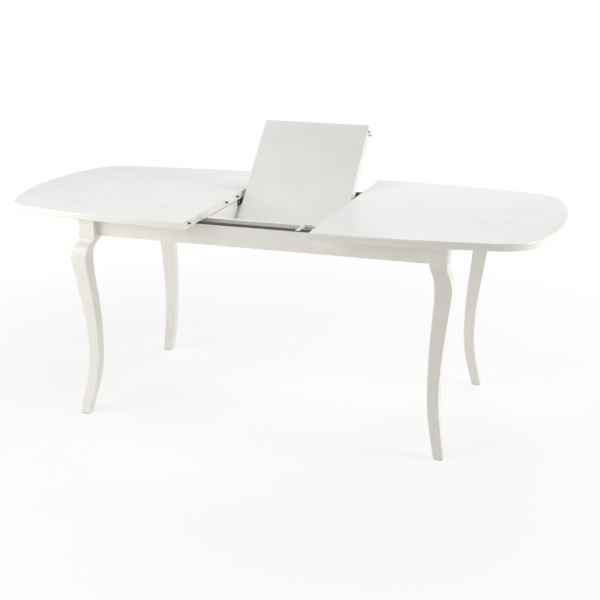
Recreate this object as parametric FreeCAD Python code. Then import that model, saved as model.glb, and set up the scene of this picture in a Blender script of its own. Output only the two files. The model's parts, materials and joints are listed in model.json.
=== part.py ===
import FreeCAD, Part

import math
import os

from FreeCAD import Vector

# Extendable dining table, standing open: its two half tops are drawn apart and the folding
# leaf stands between them, half way up. Millimetres, +Z up, X along the table, front at -Y,
# origin on the floor under the middle.

# Tops
HEIGHT = 750.0
TOP_WIDTH = 924.0
TOP_LENGTH = 756.0
TOP_THICK = 25.0
SIDE_BOW = 70.0
END_BOW = 81.0
CORNER_RADIUS = 151.0
UPPER_ROUND = 5.0
LOWER_BEVEL = 3.0
OPEN_GAP = 424.0

# Leaf: two halves that fold face to face, the front one on top of the rear one
LEAF_WIDTH = 400.0
LEAF_THICK = 20.0
PIVOT_Y = 140.0
PIVOT_Z = 712.0
LEAF_TILT = 44.3
FOLD_SPACE = 0.5
HALF_SPACE = 0.2

# Base frame
FRAME_X = 640.5
FRAME_Y = 370.5
BLOCK = 58.0
BLOCK_TOP = 720.0
BLOCK_BOTTOM = 650.0
APRON_THICK = 22.0
APRON_RECESS = 25.5
APRON_TOP = 720.0
APRON_BOTTOM = 651.0
ARRIS = 2.0
GLIDE_SIZE = 28.0
GLIDE_THICK = 4.0

# Height, outward shift of the centre and half width of the cabriole leg
LEG_STATIONS = (
    (BLOCK_BOTTOM, 0.0, BLOCK / 2),
    (638.0, 2.7, 27.5),
    (616.0, 14.8, 27.5),
    (586.0, 23.0, 28.6),
    (545.0, 22.0, 27.6),
    (420.0, 8.3, 24.2),
    (260.0, -2.9, 20.0),
    (150.0, 1.5, 19.3),
    (60.0, 17.2, 18.1),
    (GLIDE_THICK, 28.5, 16.8),
)
LEG_SECTIONS = 30

# Corner braces and hanger bolts
BRACE_REACH = 866.0
BRACE_THICK = 20.0
BRACE_HEIGHTS = (658.0, 708.0)
BOLT_RADIUS = 4.0
BOLT_HEIGHTS = (671.0, 695.0)
WASHER_RADIUS = 8.0
WASHER_THICK = 1.6
NUT_FLATS = 13.0
NUT_HEIGHT = 6.5

# Leaf carrier
BOARD_INNER_X = 214.0
BOARD_THICK = 18.0
BOARD_TOP = 721.0
BOARD_BOTTOM = 655.0
TONGUE_TOP = 675.0
TONGUE_Y = 302.0
WELL_RAIL_Y = -248.0
WELL_RAIL_THICK = 18.0
WELL_RAIL_TOP = 723.5
WELL_RAIL_BOTTOM = 660.0

# Angle bracket that ties the well rail to the front apron, over the slide
TIE_X = 151.0
TIE_THICK = 2.0
TIE_WIDTH = 24.0
TIE_BOTTOM = 709.0
TIE_TOP = 728.0
TIE_SCREW_Z = 717.5
TONGUE_X = (129.0, 143.0)
TONGUE_END_Y = -338.0
TONGUE_SCREW = (136.0, -331.5)

# Telescopic slides
RAIL_HALF_LENGTH = 520.0
RAIL_TOP = 721.6
RAIL_BOTTOM = 679.6
RAIL_COVER_Y = 341.0
RAIL_DEPTH = 13.0
RAIL_WALL = 1.6
RAIL_LIP = 5.0
RUNNER_START = 222.0
RUNNER_END = 500.0
RUNNER_CLEARANCE = 0.4
NECK_HEIGHT = 26.0
NECK_REACH = 1.6
ANGLE_START = 250.0
ANGLE_END = 470.0
ANGLE_THICK = 3.0
ANGLE_FLANGE = 28.0
ANGLE_FOOT = 690.0
RAIL_SCREW_X = (-470.0, -154.0, 154.0, 470.0)
ANGLE_SCREW_X = (275.0, 360.0, 445.0)
ANGLE_RIVET_X = (290.0, 430.0)

# Pivot hardware
PIN_RADIUS = 4.0
PIN_HEAD_RADIUS = 7.0
PIN_HEAD_THICK = 3.0
PIN_END_X = 230.0
BUSH_RADIUS = 6.5
BUSH_FLANGE_RADIUS = 8.5
BUSH_FLANGE = 2.0
PLATE_Y = (45.0, 165.0)
PLATE_BOTTOM = 702.0
PLATE_SCREWS = ((60.0, 711.5), (100.0, 711.5), (157.0, 711.5))
BRACKET_OUTER_X = 193.0
BRACKET_THICK = 3.0
BRACKET_EYE = 10.0
BRACKET_LENGTH = 56.0
BRACKET_REACH = 33.0

# Leaf hinges
HINGE_X = (-140.0, 0.0, 140.0)
HINGE_LENGTH = 30.0
HINGE_PLATE = 1.5
HINGE_DEPTH = 14.0
KNUCKLE_RADIUS = 2.2
HINGE_PIN_RADIUS = 1.0

# Alignment pins: where they sit along Y
PEG_RADIUS = 3.5
PEG_BURIED = 15.0
PEG_PROUD = 10.0
TOP_PEG_Y = (-425.0, -80.0, 30.0, 425.0)
LEAF_PEG_Y = (-437.0, -60.0, 60.0, 437.0)
PEG_HOLE_RADIUS = 3.9
PEG_HOLE_DEPTH = 12.0

# Fasteners
SCREW_RADIUS = 2.0
SCREW_HEAD_RADIUS = 4.0
SCREW_HEAD_THICK = 1.6
SNUG = 0.05
RUNNING = 0.1

# Worked out from the above
HALF_GAP = OPEN_GAP / 2
HALF_WIDTH = TOP_WIDTH / 2
HALF_LEAF = LEAF_WIDTH / 2
TOP_UNDER = HEIGHT - TOP_THICK
LEAF_UNDER = HEIGHT - LEAF_THICK
PEG_Z = HEIGHT - LEAF_THICK / 2
LEG_X = FRAME_X - BLOCK / 2
LEG_Y = FRAME_Y - BLOCK / 2
APRON_OUTER_Y = FRAME_Y - APRON_RECESS
APRON_INNER_Y = APRON_OUTER_Y - APRON_THICK
APRON_OUTER_X = FRAME_X - APRON_RECESS
APRON_INNER_X = APRON_OUTER_X - APRON_THICK
BLOCK_INNER_X = FRAME_X - BLOCK
BLOCK_INNER_Y = FRAME_Y - BLOCK
BOARD_OUTER_X = BOARD_INNER_X + BOARD_THICK
WELL_RAIL_FRONT_Y = WELL_RAIL_Y - WELL_RAIL_THICK
RAIL_MOUTH_Y = APRON_INNER_Y - RAIL_DEPTH
NECK_Y = RAIL_MOUTH_Y - NECK_REACH
FLANGE_Y = NECK_Y - ANGLE_FLANGE
FOLD_Z = HEIGHT + FOLD_SPACE / 2
SIDES = {"left": -1, "right": 1}
ENDS = {"front": -1, "rear": 1}

X_AXIS = Vector(1, 0, 0)
Y_AXIS = Vector(0, 1, 0)
Z_AXIS = Vector(0, 0, 1)


def box(x, y, z):
    """Box between the two values of x, of y and of z, in either order."""
    (x0, x1), (y0, y1), (z0, z1) = sorted(x), sorted(y), sorted(z)
    return Part.makeBox(x1 - x0, y1 - y0, z1 - z0, Vector(x0, y0, z0))


def rod(radius, start, end):
    """Round bar from one point to another."""
    start, end = Vector(*start), Vector(*end)
    run = end - start
    return Part.makeCylinder(radius, run.Length, start, run)


def prism(corners, normal, thick):
    """Flat polygon of 3-D corners, given thickness along a unit vector."""
    wire = Part.makePolygon([Vector(*p) for p in corners] + [Vector(*corners[0])])
    return Part.Face(wire).extrude(normal * thick)


def cut(shape, tools):
    """Shape with a list of tools taken away."""
    for tool in tools:
        shape = shape.cut(tool)
    return shape


def fuse(shapes):
    """Several overlapping or touching shapes as one solid."""
    whole = shapes[0]
    for shape in shapes[1:]:
        whole = whole.fuse(shape)
    return whole.removeSplitter()


def group(shapes):
    """Separate solids in one node."""
    return Part.makeCompound(shapes)


def on_pivot(shape):
    """Turn a leaf piece from flat to where the leaf stands."""
    return shape.rotated(Vector(0, PIVOT_Y, PIVOT_Z), X_AXIS, LEAF_TILT)


def folded(shape):
    """Fold a front-half piece over on to the rear half, then stand it with the leaf."""
    return on_pivot(shape.rotated(Vector(0, 0, FOLD_Z), X_AXIS, 180))


def save(node, shape):
    """Write one node and print its check line."""
    shape.exportStep(f"parts/{node}.step")
    size = shape.BoundBox
    print(f"{node:26s} solids {len(shape.Solids)} valid {shape.isValid()} "
          f"volume {shape.Volume / 1000:.1f} cm3 "
          f"z {size.ZMin:.1f}..{size.ZMax:.1f}")


# Half tops

def circle_crossing(a, ra, b, rb):
    """The crossing of two circles that lies further out in Y."""
    gap = b - a
    along = (gap.Length ** 2 + ra ** 2 - rb ** 2) / (2 * gap.Length)
    across = math.sqrt(ra ** 2 - along ** 2)
    unit = gap.normalize()
    return max((a + unit * along + Vector(-unit.y, unit.x, 0) * side * across
                for side in (-1, 1)), key=lambda p: p.y)


def top_outline():
    """Points of the half outline from the gap to the end's middle: arc ends and middles."""
    corner = Vector(TOP_LENGTH - END_BOW, HALF_WIDTH - SIDE_BOW, 0)
    side_radius = (corner.x ** 2 + SIDE_BOW ** 2) / (2 * SIDE_BOW)
    end_radius = (corner.y ** 2 + END_BOW ** 2) / (2 * END_BOW)
    side_centre = Vector(0, HALF_WIDTH - side_radius, 0)
    end_centre = Vector(TOP_LENGTH - end_radius, 0, 0)
    round_centre = circle_crossing(side_centre, side_radius - CORNER_RADIUS,
                                   end_centre, end_radius - CORNER_RADIUS)
    gap_point = Vector(0, HALF_WIDTH, 0)
    side_point = side_centre + (round_centre - side_centre).normalize() * side_radius
    end_point = end_centre + (round_centre - end_centre).normalize() * end_radius
    middle = Vector(TOP_LENGTH, 0, 0)

    def between(centre, p, q):
        return centre + ((p + q) * 0.5 - centre).normalize() * (p - centre).Length

    return (gap_point, between(side_centre, gap_point, side_point), side_point,
            between(round_centre, side_point, end_point), end_point, middle)


def top_blank(side):
    """Half top without its holes: bowed side, round corner, bowed end."""
    gap, side_mid, side_end, round_mid, end_start, middle = top_outline()

    def place(p, flip=1):
        return Vector(side * (HALF_GAP + p.x), flip * p.y, TOP_UNDER)

    edges = [
        Part.Arc(place(gap), place(side_mid), place(side_end)),
        Part.Arc(place(side_end), place(round_mid), place(end_start)),
        Part.Arc(place(end_start), place(middle), place(end_start, -1)),
        Part.Arc(place(end_start, -1), place(round_mid, -1), place(side_end, -1)),
        Part.Arc(place(side_end, -1), place(side_mid, -1), place(gap, -1)),
        Part.LineSegment(place(gap, -1), place(gap)),
    ]
    wire = Part.Wire([edge.toShape() for edge in edges])
    slab = Part.Face(wire).extrude(Z_AXIS * TOP_THICK)
    slab = slab.makeFillet(UPPER_ROUND, outer_edges(slab, HEIGHT))
    return slab.makeChamfer(LOWER_BEVEL, outer_edges(slab, TOP_UNDER))


def outer_edges(slab, z):
    """Edges at one height that are not on the straight gap side."""
    level = [e for e in slab.Edges
             if abs(e.BoundBox.ZMin - z) < 0.01 and abs(e.BoundBox.ZMax - z) < 0.01]
    return [e for e in level if e.BoundBox.XLength > 0.01]


def peg_holes(x, places, inward, radius, depth):
    """Tools for blind holes in an edge at x, drilled inward along X."""
    return [rod(radius, (x, y, PEG_Z), (x + inward * depth, y, PEG_Z)) for y in places]


def angle_screw_places(side, ends=(-1, 1)):
    """Screws that hold the slides' angles to one half top."""
    y = NECK_Y - ANGLE_FLANGE / 2 - ANGLE_THICK
    return [(side * x, end * y) for end in ends for x in ANGLE_SCREW_X]


def half_top(side):
    """Finished half top: peg holes in the gap edge and screw holes underneath."""
    if side < 0:
        pegs = peg_holes(-HALF_GAP, TOP_PEG_Y, -1, PEG_RADIUS + SNUG, PEG_BURIED)
    else:
        pegs = peg_holes(HALF_GAP, LEAF_PEG_Y, 1, PEG_HOLE_RADIUS, PEG_HOLE_DEPTH)
    screws = [rod(SCREW_RADIUS + SNUG, (x, y, TOP_UNDER), (x, y, TOP_UNDER + 15))
              for x, y in angle_screw_places(side)]
    return cut(top_blank(side), pegs + screws)


def top_pegs():
    """Pegs that stand out of the left top's gap edge."""
    return group([rod(PEG_RADIUS, (-HALF_GAP - PEG_BURIED, y, PEG_Z),
                      (-HALF_GAP + PEG_PROUD, y, PEG_Z)) for y in TOP_PEG_Y])


# Legs and frame

def rounded_square(x, y, half, z):
    """Square wire with eased corners, centred at x, y."""
    flat = half - ARRIS
    ease = ARRIS * (1 - math.sqrt(0.5))
    edges = []
    for turn in range(4):
        start = Vector(half, -flat, 0)
        end = Vector(half, flat, 0)
        bend = Vector(half - ease, half - ease, 0)
        after = Vector(flat, half, 0)
        spin = FreeCAD.Rotation(Z_AXIS, 90 * turn)
        p, q, m, r = (spin.multVec(v) + Vector(x, y, z) for v in (start, end, bend, after))
        edges += [Part.LineSegment(p, q).toShape(), Part.Arc(q, m, r).toShape()]
    return Part.Wire(edges)


def hanger_bolt_ends(sx, sy, z):
    """Inner and outer end of a hanger bolt, on the leg's diagonal."""
    inner = BRACE_REACH / 2 - 12.0
    skew = (LEG_X - LEG_Y) / 2
    return (sx * (inner + skew), sy * (inner - skew), z), (sx * LEG_X, sy * LEG_Y, z)


def leg(sx, sy):
    """Cabriole leg: square block, knee, slim ankle and foot turned out on the diagonal."""
    line = Part.BSplineCurve()
    line.interpolate([Vector(shift, half, z) for z, shift, half in LEG_STATIONS])
    sections = [rounded_square(sx * (LEG_X + p.x), sy * (LEG_Y + p.x), p.y, p.z)
                for p in line.discretize(LEG_SECTIONS)]
    shaft = Part.makeLoft(sections, True, False)
    square = rounded_square(sx * LEG_X, sy * LEG_Y, BLOCK / 2, BLOCK_BOTTOM)
    block = Part.Face(square).extrude(Z_AXIS * (BLOCK_TOP - BLOCK_BOTTOM))
    holes = [rod(BOLT_RADIUS + SNUG, *hanger_bolt_ends(sx, sy, z)) for z in BOLT_HEIGHTS]
    return cut(shaft.fuse(block), holes)


def glide(sx, sy):
    """Pad under a foot."""
    shift = LEG_STATIONS[-1][1]
    x, y = sx * (LEG_X + shift), sy * (LEG_Y + shift)
    half = GLIDE_SIZE / 2
    return box((x - half, x + half), (y - half, y + half), (0, GLIDE_THICK))


def long_apron(end):
    """Front or rear apron, drilled for the screws of the slide and of the angle bracket."""
    panel = box((-BLOCK_INNER_X, BLOCK_INNER_X), (end * APRON_INNER_Y, end * APRON_OUTER_Y),
                (APRON_BOTTOM, APRON_TOP))
    z = (RAIL_TOP + RAIL_BOTTOM) / 2
    holes = [rod(SCREW_RADIUS + SNUG, (x, end * (APRON_INNER_Y - 1), z),
                 (x, end * (APRON_INNER_Y + 14), z)) for x in RAIL_SCREW_X]
    if end < 0:
        x, y = TONGUE_SCREW
        holes.append(rod(SCREW_RADIUS + SNUG, (x, y, APRON_TOP - 13), (x, y, APRON_TOP + 1)))
    return cut(panel, holes)


def end_apron(side):
    """Left or right apron."""
    return box((side * APRON_INNER_X, side * APRON_OUTER_X), (-BLOCK_INNER_Y, BLOCK_INNER_Y),
               (APRON_BOTTOM, APRON_TOP))


def brace(sx, sy):
    """Diagonal board across a corner behind the leg, drilled for its hanger bolts."""
    outer = BRACE_REACH + BRACE_THICK * math.sqrt(2)
    low, high = BRACE_HEIGHTS
    corners = [(BRACE_REACH - APRON_INNER_Y, APRON_INNER_Y),
               (APRON_INNER_X, BRACE_REACH - APRON_INNER_X),
               (APRON_INNER_X, outer - APRON_INNER_X),
               (outer - APRON_INNER_Y, APRON_INNER_Y)]
    board = prism([(sx * x, sy * y, low) for x, y in corners], Z_AXIS, high - low)
    return cut(board, [rod(BOLT_RADIUS + SNUG, *hanger_bolt_ends(sx, sy, z))
                       for z in BOLT_HEIGHTS])


def hanger_bolt(sx, sy, z):
    """Headless bolt from inside the brace to the middle of the leg block."""
    return rod(BOLT_RADIUS, *hanger_bolt_ends(sx, sy, z))


def hanger_nut(sx, sy, z):
    """Washer and nut against the inner face of the brace, as one piece."""
    skew = (LEG_X - LEG_Y) / 2
    face = Vector(sx * (BRACE_REACH / 2 + skew), sy * (BRACE_REACH / 2 - skew), z)
    inward = Vector(-sx, -sy, 0).normalize()
    washer = Part.makeCylinder(WASHER_RADIUS, WASHER_THICK, face, inward)
    reach = NUT_FLATS / math.sqrt(3)
    across = inward.cross(Z_AXIS)
    start = face + inward * WASHER_THICK
    turns = [math.radians(60 * k) for k in range(6)]
    corners = [start + Z_AXIS * reach * math.cos(a) + across * reach * math.sin(a)
               for a in turns]
    nut = prism([tuple(p) for p in corners], inward, NUT_HEIGHT)
    hole = Part.makeCylinder(BOLT_RADIUS + SNUG, 20, face - inward * 2, inward)
    return washer.fuse(nut).cut(hole)


# Leaf carrier

def cross_board(side):
    """Board beside the leaf well that carries one pivot, its tongue under the rear slide."""
    outline = [(WELL_RAIL_Y, BOARD_BOTTOM), (APRON_INNER_Y, BOARD_BOTTOM),
               (APRON_INNER_Y, TONGUE_TOP), (TONGUE_Y, TONGUE_TOP),
               (TONGUE_Y, BOARD_TOP), (WELL_RAIL_Y, BOARD_TOP)]
    board = prism([(side * BOARD_INNER_X, y, z) for y, z in outline], X_AXIS * side,
                  BOARD_THICK)
    seat = rod(BUSH_RADIUS + SNUG, (side * (BOARD_INNER_X - 1), PIVOT_Y, PIVOT_Z),
               (side * (BOARD_OUTER_X + 1), PIVOT_Y, PIVOT_Z))
    holes = [rod(SCREW_RADIUS + SNUG, (side * (BOARD_INNER_X - 1), y, z),
                 (side * (BOARD_INNER_X + 11), y, z)) for y, z in PLATE_SCREWS]
    return cut(board, [seat] + holes)


def well_rail():
    """Rail along the front of the leaf well, between the end aprons."""
    rail = box((-APRON_INNER_X, APRON_INNER_X), (WELL_RAIL_FRONT_Y, WELL_RAIL_Y),
               (WELL_RAIL_BOTTOM, WELL_RAIL_TOP))
    return cut(rail, [rod(SCREW_RADIUS + SNUG, (TIE_X, WELL_RAIL_FRONT_Y - 1, TIE_SCREW_Z),
                          (TIE_X, WELL_RAIL_FRONT_Y + 14, TIE_SCREW_Z))])


def tie_bracket():
    """Angle bracket: a plate on the front of the well rail, and a tongue over the slide."""
    front = WELL_RAIL_FRONT_Y - TIE_THICK
    plate = box((TIE_X - TIE_WIDTH / 2, TIE_X + TIE_WIDTH / 2), (front, WELL_RAIL_FRONT_Y),
                (TIE_BOTTOM, TIE_TOP))
    tongue = box(TONGUE_X, (front, TONGUE_END_Y), (RAIL_TOP, RAIL_TOP + TIE_THICK))
    x, y = TONGUE_SCREW
    holes = [rod(SCREW_RADIUS + SNUG, (TIE_X, front - 1, TIE_SCREW_Z),
                 (TIE_X, WELL_RAIL_FRONT_Y + 1, TIE_SCREW_Z)),
             rod(SCREW_RADIUS + SNUG, (x, y, RAIL_TOP - 1), (x, y, RAIL_TOP + 3))]
    return cut(fuse([plate, tongue]), holes)


def tie_screws():
    """Screws of the angle bracket, one into the well rail and one down into the apron."""
    x, y = TONGUE_SCREW
    return group([screw((TIE_X, WELL_RAIL_FRONT_Y - TIE_THICK, TIE_SCREW_Z), (0, 1, 0), 14),
                  screw((x, y, RAIL_TOP + TIE_THICK), (0, 0, -1), 14)])


def screw(place, inward, length):
    """Screw with a flat round head: place is under the head, inward the way it goes."""
    place, inward = Vector(*place), Vector(*inward)
    head = Part.makeCylinder(SCREW_HEAD_RADIUS, SCREW_HEAD_THICK,
                             place - inward * SCREW_HEAD_THICK, inward)
    shank = Part.makeCylinder(SCREW_RADIUS, length, place, inward)
    return head.fuse(shank)


# Slides

def slide_rail(end):
    """Lipped channel inside a long apron, open toward the middle, its top flange over the wood."""
    back, mouth = end * APRON_INNER_Y, end * RAIL_MOUTH_Y
    length = (-RAIL_HALF_LENGTH, RAIL_HALF_LENGTH)
    solid = box(length, (back, mouth), (RAIL_BOTTOM, RAIL_TOP))
    hollow = box(length, (back - end * RAIL_WALL, mouth + end * RAIL_WALL),
                 (RAIL_BOTTOM + RAIL_WALL, RAIL_TOP - RAIL_WALL))
    slot = box(length, (back - end * RAIL_WALL, mouth),
               (RAIL_BOTTOM + RAIL_WALL + RAIL_LIP, RAIL_TOP - RAIL_WALL - RAIL_LIP))
    cover = box(length, (back - end, end * RAIL_COVER_Y), (APRON_TOP, RAIL_TOP))
    z = (RAIL_TOP + RAIL_BOTTOM) / 2
    holes = [rod(SCREW_HEAD_RADIUS + SNUG, (x, back + end, z), (x, back - 2 * end, z))
             for x in RAIL_SCREW_X]
    if end < 0:
        x, y = TONGUE_SCREW
        holes.append(rod(SCREW_RADIUS + SNUG, (x, y, APRON_TOP - 1), (x, y, RAIL_TOP + 1)))
    return cut(fuse([cut(solid, [hollow, slot]), cover]), holes)


def rail_screws():
    """Screws whose heads lie flush in the webs of the two channels."""
    z = (RAIL_TOP + RAIL_BOTTOM) / 2
    return group([screw((x, end * APRON_INNER_Y, z), (0, end, 0), 12)
                  for end in ENDS.values() for x in RAIL_SCREW_X])


def runner(side, end):
    """Bar that runs in the channel, with a neck that comes out between its lips."""
    back = APRON_INNER_Y - RAIL_WALL - RUNNER_CLEARANCE
    front = RAIL_MOUTH_Y + RAIL_WALL + RUNNER_CLEARANCE
    length = (side * RUNNER_START, side * RUNNER_END)
    middle = (RAIL_TOP + RAIL_BOTTOM) / 2
    low = RAIL_BOTTOM + RAIL_WALL + RUNNER_CLEARANCE
    high = RAIL_TOP - RAIL_WALL - RUNNER_CLEARANCE
    bar = box(length, (end * back, end * front), (low, high))
    neck = box(length, (end * back, end * NECK_Y),
               (middle - NECK_HEIGHT / 2, middle + NECK_HEIGHT / 2))
    rivets = rivet_places(side, end, RUNNING * 0.5, 7)
    return cut(fuse([bar, neck]), rivets)


def rivet_places(side, end, allowance, depth):
    """Rivet shanks between the angle and the runner, or the tools for their holes."""
    z = (ANGLE_FOOT + RAIL_TOP) / 2 - 5
    return [rod(SCREW_RADIUS + allowance, (side * x, end * (NECK_Y - ANGLE_THICK), z),
                (side * x, end * (NECK_Y - ANGLE_THICK + depth), z)) for x in ANGLE_RIVET_X]


def angle(side, end):
    """Steel angle that carries one half top on a runner."""
    length = (side * ANGLE_START, side * ANGLE_END)
    web = box(length, (end * NECK_Y, end * (NECK_Y - ANGLE_THICK)), (ANGLE_FOOT, TOP_UNDER))
    flange = box(length, (end * NECK_Y, end * (FLANGE_Y - ANGLE_THICK)),
                 (TOP_UNDER - ANGLE_THICK, TOP_UNDER))
    screws = [rod(SCREW_RADIUS + SNUG, (x, y, TOP_UNDER - 5), (x, y, TOP_UNDER + 1))
              for x, y in angle_screw_places(side, (end,))]
    return cut(fuse([web, flange]), screws + rivet_places(side, end, RUNNING * 0.5, 7))


def angle_rivets(side):
    """Round-headed rivets of both angles of one half top."""
    heads = [rod(SCREW_HEAD_RADIUS, (side * x, end * (NECK_Y - ANGLE_THICK), z),
                 (side * x, end * (NECK_Y - ANGLE_THICK - SCREW_HEAD_THICK), z))
             for end in ENDS.values() for x in ANGLE_RIVET_X
             for z in [(ANGLE_FOOT + RAIL_TOP) / 2 - 5]]
    shanks = [s for end in ENDS.values() for s in rivet_places(side, end, 0, 6)]
    return group([head.fuse(shank) for head, shank in zip(heads, shanks)])


def top_screws(side):
    """Screws up through both angles into one half top."""
    return group([screw((x, y, TOP_UNDER - ANGLE_THICK), (0, 0, 1), 16)
                  for x, y in angle_screw_places(side)])


# Leaf

def bracket_screw_places(side):
    """Screws that hold a pivot bracket under the rear half of the leaf."""
    x = side * (BRACKET_OUTER_X - BRACKET_THICK - BRACKET_REACH / 2)
    reach = BRACKET_LENGTH / 2 - 10
    return [(x, PIVOT_Y - reach), (x, PIVOT_Y + reach)]


def leaf_half(end):
    """One half of the leaf lying flat: pegs' and hinges' seats, rounded outer edge."""
    joint = end * HALF_SPACE
    slab = box((-HALF_LEAF, HALF_LEAF), (joint, end * HALF_WIDTH), (LEAF_UNDER, HEIGHT))
    outer = [e for e in slab.Edges if abs(e.CenterOfMass.y) > HALF_WIDTH - 1
             and e.BoundBox.XLength > 1]
    slab = slab.makeFillet(UPPER_ROUND, [e for e in outer if e.CenterOfMass.z > PEG_Z])
    under = [e for e in slab.Edges if abs(e.CenterOfMass.y) > HALF_WIDTH - 1
             and abs(e.CenterOfMass.z - LEAF_UNDER) < 0.1 and e.BoundBox.XLength > 1]
    slab = slab.makeChamfer(LOWER_BEVEL, under)
    mine = [y for y in TOP_PEG_Y if y * end > 0]
    tools = peg_holes(-HALF_LEAF, mine, 1, PEG_HOLE_RADIUS, PEG_HOLE_DEPTH)
    mine = [y for y in LEAF_PEG_Y if y * end > 0]
    tools += peg_holes(HALF_LEAF, mine, -1, PEG_RADIUS + SNUG, PEG_BURIED)
    for x in HINGE_X:
        half = HINGE_LENGTH / 2 + SNUG
        tools.append(box((x - half, x + half), (joint, joint + end * HINGE_PLATE),
                         (HEIGHT - HINGE_DEPTH - SNUG, HEIGHT)))
        tools.append(rod(KNUCKLE_RADIUS + 2 * SNUG, (x - half, 0, FOLD_Z),
                         (x + half, 0, FOLD_Z)))
    if end > 0:
        tools += [rod(SCREW_RADIUS + SNUG, (x, y, LEAF_UNDER), (x, y, LEAF_UNDER + 13))
                  for side in SIDES.values() for x, y in bracket_screw_places(side)]
    return cut(slab, tools)


def leaf_pegs(end):
    """Pegs in the right edge of one half of the leaf."""
    return group([rod(PEG_RADIUS, (HALF_LEAF - PEG_BURIED, y, PEG_Z),
                      (HALF_LEAF + PEG_PROUD, y, PEG_Z)) for y in LEAF_PEG_Y if y * end > 0])


def hinge_plates(end):
    """Plates let into one half's joint face; the rear ones end in two knuckles, the front
    ones in the knuckle between them."""
    joint = end * HALF_SPACE
    outer, inner = HINGE_LENGTH / 2, HINGE_LENGTH / 6
    spans = [(-outer, -inner), (inner, outer)] if end > 0 else [(-inner, inner)]
    others = [(-inner, inner)] if end > 0 else [(-outer, -inner), (inner, outer)]
    plates = []
    for x in HINGE_X:
        plate = box((x - outer, x + outer), (joint, joint + end * HINGE_PLATE),
                    (HEIGHT - HINGE_DEPTH, HEIGHT))
        knuckles = [rod(KNUCKLE_RADIUS, (x + a + RUNNING, 0, FOLD_Z),
                        (x + b - RUNNING, 0, FOLD_Z)) for a, b in spans]
        clear = [rod(KNUCKLE_RADIUS + 2 * RUNNING, (x + a - RUNNING, 0, FOLD_Z),
                     (x + b + RUNNING, 0, FOLD_Z)) for a, b in others]
        bore = rod(HINGE_PIN_RADIUS + SNUG, (x - outer - 1, 0, FOLD_Z),
                   (x + outer + 1, 0, FOLD_Z))
        plates.append(cut(fuse([cut(plate, clear)] + knuckles), [bore]))
    return group(plates)


def hinge_pins():
    """Pins through the knuckles."""
    return group([rod(HINGE_PIN_RADIUS, (x - HINGE_LENGTH / 2, 0, FOLD_Z),
                      (x + HINGE_LENGTH / 2, 0, FOLD_Z)) for x in HINGE_X])


# Pivot

def bracket(side):
    """Pivot bracket: a flange under the leaf and an ear down to the pivot."""
    outer, inner = side * BRACKET_OUTER_X, side * (BRACKET_OUTER_X - BRACKET_THICK)
    half = BRACKET_LENGTH / 2
    ear = prism([(inner, PIVOT_Y - half, LEAF_UNDER), (inner, PIVOT_Y + half, LEAF_UNDER),
                 (inner, PIVOT_Y + BRACKET_EYE, PIVOT_Z),
                 (inner, PIVOT_Y - BRACKET_EYE, PIVOT_Z)], X_AXIS * side, BRACKET_THICK)
    eye = rod(BRACKET_EYE, (inner, PIVOT_Y, PIVOT_Z), (outer, PIVOT_Y, PIVOT_Z))
    flange = box((outer, inner - side * BRACKET_REACH), (PIVOT_Y - half, PIVOT_Y + half),
                 (LEAF_UNDER - BRACKET_THICK, LEAF_UNDER))
    bore = rod(PIN_RADIUS + RUNNING, (inner - side, PIVOT_Y, PIVOT_Z),
               (outer + side, PIVOT_Y, PIVOT_Z))
    screws = [rod(SCREW_RADIUS + SNUG, (x, y, LEAF_UNDER - 5), (x, y, LEAF_UNDER + 1))
              for x, y in bracket_screw_places(side)]
    return cut(fuse([ear, eye, flange]), [bore] + screws)


def bracket_screws():
    """Screws of both pivot brackets."""
    return group([screw((x, y, LEAF_UNDER - BRACKET_THICK), (0, 0, 1), 13)
                  for side in SIDES.values() for x, y in bracket_screw_places(side)])


def pivot_pin(side):
    """Headed pin through the bracket's ear and the bush."""
    head = side * (BRACKET_OUTER_X - BRACKET_THICK - RUNNING)
    shank = rod(PIN_RADIUS, (head, PIVOT_Y, PIVOT_Z), (side * PIN_END_X, PIVOT_Y, PIVOT_Z))
    cap = rod(PIN_HEAD_RADIUS, (head - side * PIN_HEAD_THICK, PIVOT_Y, PIVOT_Z),
              (head, PIVOT_Y, PIVOT_Z))
    return cap.fuse(shank)


def spacer(side):
    """Sleeve on the pin between the bracket and the bush."""
    start = side * (BRACKET_OUTER_X + 2 * RUNNING)
    end = side * (BOARD_INNER_X - BUSH_FLANGE - 2 * RUNNING)
    tube = rod(BUSH_RADIUS, (start, PIVOT_Y, PIVOT_Z), (end, PIVOT_Y, PIVOT_Z))
    return tube.cut(rod(PIN_RADIUS + SNUG, (start - side, PIVOT_Y, PIVOT_Z),
                        (end + side, PIVOT_Y, PIVOT_Z)))


def pivot_plate(side):
    """Steel plate on the inner face of a cross board, round the flange of the bush."""
    face = side * BOARD_INNER_X
    plate = box((face - side * BUSH_FLANGE, face), PLATE_Y, (PLATE_BOTTOM, BOARD_TOP))
    seat = rod(BUSH_FLANGE_RADIUS + RUNNING, (face - side * 3, PIVOT_Y, PIVOT_Z),
               (face + side, PIVOT_Y, PIVOT_Z))
    holes = [rod(SCREW_RADIUS + SNUG, (face - side * 3, y, z), (face + side, y, z))
             for y, z in PLATE_SCREWS]
    return cut(plate, [seat] + holes)


def plate_screws():
    """Screws of the two pivot plates."""
    face = BOARD_INNER_X - BUSH_FLANGE
    return group([screw((side * face, y, z), (side, 0, 0), 12)
                  for side in SIDES.values() for y, z in PLATE_SCREWS])


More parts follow.
